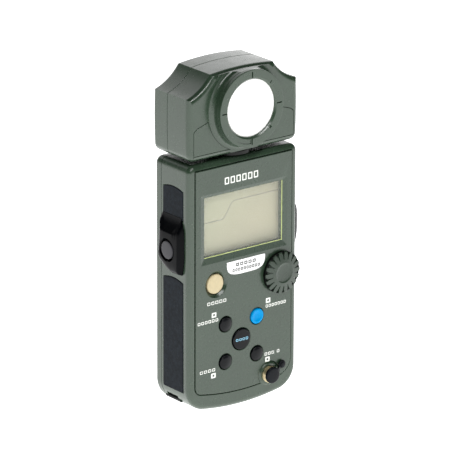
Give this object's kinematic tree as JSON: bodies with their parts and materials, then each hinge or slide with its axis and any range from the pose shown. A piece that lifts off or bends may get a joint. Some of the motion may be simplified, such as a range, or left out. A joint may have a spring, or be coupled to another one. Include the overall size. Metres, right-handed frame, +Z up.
{
  "type": "handheld light meter",
  "caption": "Handheld light meter: swivel receptor head with a flat diffuser, display, front keys, jog dial, side buttons, battery bay and tripod socket.",
  "frame": {"origin": "bottom centre of the meter, under the head's swivel axis", "axes": "+Z up along the body to the head, -Y out of the display and keys, +X to the jog dial's side"},
  "size_m": [0.078, 0.038, 0.178],
  "materials": {
    "case_green": "fine satin moulded texture, dark grey-green",
    "panel_green": "fine satin moulded texture, dark grey-green",
    "dial_green": "satin moulded plastic, dark grey-green",
    "window_clear": "clear polished window",
    "lcd_glass": "grey-beige liquid crystal display",
    "lcd_black": "matte black frame",
    "light_guide": "clear acrylic light guide",
    "elastomer": "conductive elastomer strip",
    "badge_white": "white enamel plate, blank",
    "circuit_board": "green solder mask with copper tracks",
    "chip_black": "moulded chip packages",
    "switch_metal": "tin-plated switch cans",
    "encoder_grey": "moulded encoder body",
    "grip_rubber": "charcoal rubber with a fine grain",
    "housing_black": "satin black moulding",
    "side_button_grey": "dark grey satin button",
    "terminal_gold": "gold-plated brass",
    "insulator_white": "white insulator",
    "cap_rubber": "black soft plastic",
    "tray_black": "black moulded tray",
    "battery_skin": "plain printed sleeve, unmarked",
    "spring_steel": "nickel-plated spring steel",
    "insert_steel": "turned steel insert",
    "screw_steel": "black-oxide screws",
    "bushing_acetal": "natural acetal",
    "key_black": "glossy black domed keys",
    "key_ivory": "ivory key",
    "key_blue": "bright blue key",
    "diffuser_white": "translucent white diffuser",
    "box_white": "matte white mixing box",
    "filter_glass": "colour filters",
    "diode_black": "photodiode windows",
    "spindle_black": "black acetal spindle",
    "wire_grey": "grey ribbon jacket"
  },
  "bodies": {
    "body": {"body_front_shell": "case_green", "body_rear_shell": "case_green", "front_panel": "panel_green", "display_window": "window_clear", "lcd_panel": "lcd_glass", "lcd_frame": "lcd_black", "lcd_light_guide": "light_guide", "lcd_connectors": "elastomer", "model_badge": "badge_white", "main_board": "circuit_board", "board_components": "chip_black", "key_switches": "switch_metal", "jog_encoder": "encoder_grey", "grip_pad_left_upper": "grip_rubber", "grip_pad_left_lower": "grip_rubber", "grip_pad_right_upper": "grip_rubber", "grip_pad_right_lower": "grip_rubber", "measure_button_housing": "housing_black", "memory_button_housing": "housing_black", "side_switches": "switch_metal", "sync_terminal": "terminal_gold", "sync_insulator": "insulator_white", "sync_centre_pin": "terminal_gold", "sync_cap_strap": "cap_rubber", "strap_peg": "cap_rubber", "battery_tray": "tray_black", "batteries": "battery_skin", "battery_springs": "spring_steel", "battery_contacts": "spring_steel", "tripod_socket": "insert_steel", "strap_bar": "insert_steel", "case_screws": "screw_steel", "neck_bushing": "bushing_acetal", "swivel_stop_pin": "spring_steel"},
    "head": {"head_front_shell": "case_green", "head_rear_shell": "case_green", "head_cheek_covers": "case_green", "receptor_ring": "case_green", "diffuser_disc": "diffuser_white", "mixing_box": "box_white", "filter_set": "filter_glass", "photodiodes": "diode_black", "sensor_board": "circuit_board", "swivel_spindle": "spindle_black", "spindle_clip": "spring_steel", "wave_washer": "spring_steel", "head_screws": "screw_steel", "sensor_cable": "wire_grey"},
    "power_button": {"power_button": "key_ivory"},
    "menu_button": {"menu_button": "key_black"},
    "preset_button": {"preset_button": "key_black"},
    "display_button": {"display_button": "key_blue"},
    "mode_button": {"mode_button": "key_black"},
    "set_button": {"set_button": "key_black"},
    "measure_button": {"measure_button": "side_button_grey"},
    "memory_button": {"memory_button": "side_button_grey"},
    "jog_dial": {"jog_dial": "dial_green"},
    "sync_cap": {"sync_cap": "cap_rubber"},
    "battery_cover": {"battery_cover": "case_green"}
  },
  "joints": [
    {"name": "head_swivel", "type": "hinge", "parent": "body", "child": "head", "pos_m": [0, 0, 0.134], "axis": [0, 0, 1], "range_deg": [-90, 180]},
    {"name": "power_press", "type": "slide", "parent": "body", "child": "power_button", "axis": [0, 1, 0], "range_m": [0, 0.0008], "stiffness_N_per_m": 1000, "springref_m": -0.0003},
    {"name": "menu_press", "type": "slide", "parent": "body", "child": "menu_button", "axis": [0, 1, 0], "range_m": [0, 0.0008], "stiffness_N_per_m": 1000, "springref_m": -0.0003},
    {"name": "preset_press", "type": "slide", "parent": "body", "child": "preset_button", "axis": [0, 1, 0], "range_m": [0, 0.0008], "stiffness_N_per_m": 1000, "springref_m": -0.0003},
    {"name": "display_press", "type": "slide", "parent": "body", "child": "display_button", "axis": [0, 1, 0], "range_m": [0, 0.0008], "stiffness_N_per_m": 1000, "springref_m": -0.0003},
    {"name": "mode_press", "type": "slide", "parent": "body", "child": "mode_button", "axis": [0, 1, 0], "range_m": [0, 0.0008], "stiffness_N_per_m": 1000, "springref_m": -0.0003},
    {"name": "set_press", "type": "slide", "parent": "body", "child": "set_button", "axis": [0, 1, 0], "range_m": [0, 0.0008], "stiffness_N_per_m": 1000, "springref_m": -0.0003},
    {"name": "measure_press", "type": "slide", "parent": "body", "child": "measure_button", "axis": [1, 0, 0], "range_m": [0, 0.0009], "stiffness_N_per_m": 1000, "springref_m": -0.0003},
    {"name": "memory_press", "type": "slide", "parent": "body", "child": "memory_button", "axis": [-1, 0, 0], "range_m": [0, 0.0009], "stiffness_N_per_m": 1000, "springref_m": -0.0003},
    {"name": "jog_turn", "type": "hinge", "parent": "body", "child": "jog_dial", "pos_m": [0.023, -0.0146, 0.0664], "axis": [0, -1, 0], "continuous": true},
    {"name": "sync_cap_pull", "type": "slide", "parent": "body", "child": "sync_cap", "axis": [0, -1, 0], "range_m": [0, 0.008], "deforming": ["sync_cap_strap"]},
    {"name": "battery_cover_open", "type": "hinge", "parent": "body", "child": "battery_cover", "pos_m": [0, 0.0182, 0.0118], "axis": [-1, 0, 0], "range_deg": [0, 75]}
  ]
}
